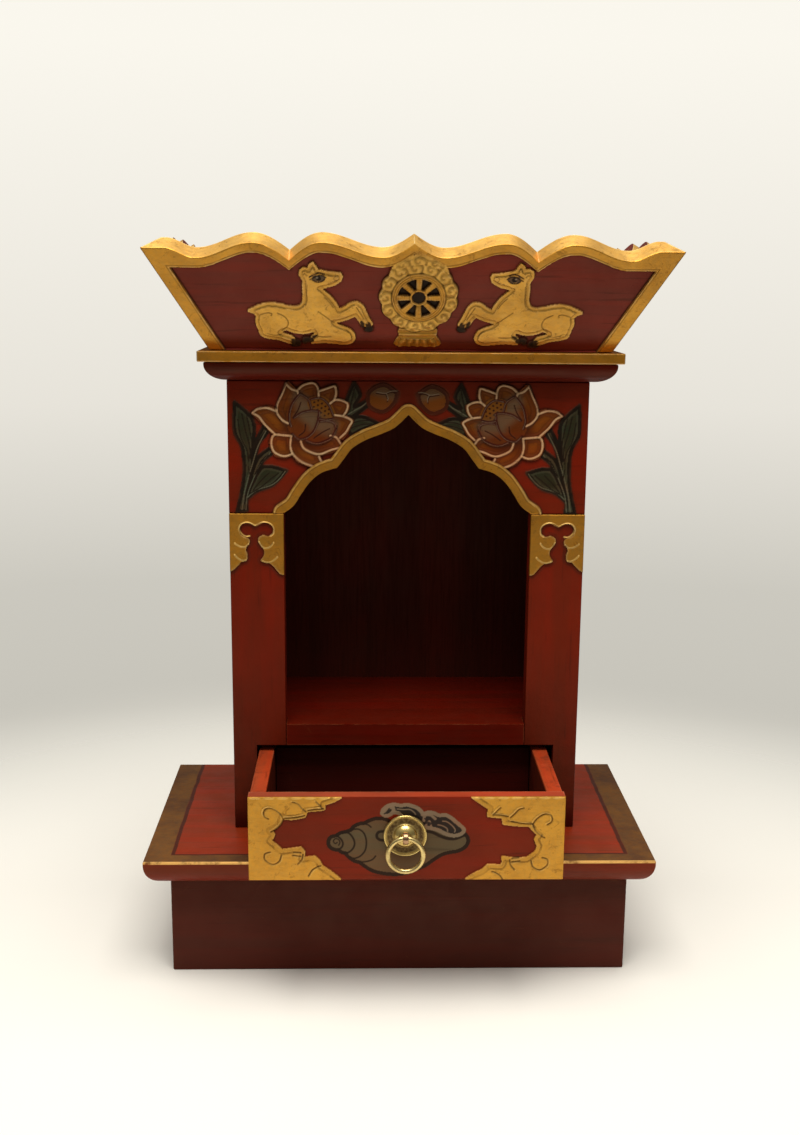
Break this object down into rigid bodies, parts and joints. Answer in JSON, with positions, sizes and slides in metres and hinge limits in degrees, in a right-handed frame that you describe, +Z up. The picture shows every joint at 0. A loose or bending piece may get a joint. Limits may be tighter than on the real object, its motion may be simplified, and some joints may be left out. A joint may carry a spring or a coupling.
{
  "type": "household altar cabinet",
  "caption": "Small carved and painted wooden shrine cabinet: ogee-arched niche, flared scalloped crown, moulded slab on a plinth, and a drawer with a brass ring pull.",
  "frame": {"origin": "middle of the plinth's underside", "axes": "+Z up; the front looks along -Y; +X to the viewer's right"},
  "size_m": [0.2738, 0.1783, 0.3925],
  "materials": {
    "red_paint": "worn satin red paint",
    "moulding_paint": "red-brown lacquer",
    "plinth_paint": "dark red-brown lacquer",
    "gold_paint": "gold paint over carved wood",
    "bare_wood": "dark stained wood",
    "drawer_wood": "orange-red washed wood",
    "brass": "polished, with darkened hollows"
  },
  "bodies": {
    "cabinet": {"plinth_front": "plinth_paint", "plinth_back": "plinth_paint", "plinth_left": "plinth_paint", "plinth_right": "plinth_paint", "plinth_floor": "bare_wood", "slab": "red_paint", "pillar_left": "red_paint", "pillar_right": "red_paint", "arch_board": "red_paint", "side_left": "red_paint", "side_right": "red_paint", "back_panel": "bare_wood", "niche_shelf": "red_paint", "moulding": "moulding_paint", "gold_strip": "gold_paint", "crown_front": "gold_paint", "crown_left": "gold_paint", "crown_right": "gold_paint"},
    "drawer": {"drawer_front": "red_paint", "drawer_left": "drawer_wood", "drawer_right": "drawer_wood", "drawer_back": "drawer_wood", "drawer_bottom": "drawer_wood", "pull_rosette": "brass", "pull_pin": "brass"},
    "ring": {"pull_ring": "brass"}
  },
  "joints": [
    {"name": "drawer_slide", "type": "slide", "parent": "cabinet", "child": "drawer", "axis": [0, -1, 0], "range_m": [-0.068, 0.008]},
    {"name": "ring_swing", "type": "hinge", "parent": "drawer", "child": "ring", "pos_m": [0.0016, -0.10845, 0.096], "axis": [-1, 0, 0], "range_deg": [0, 150]}
  ]
}
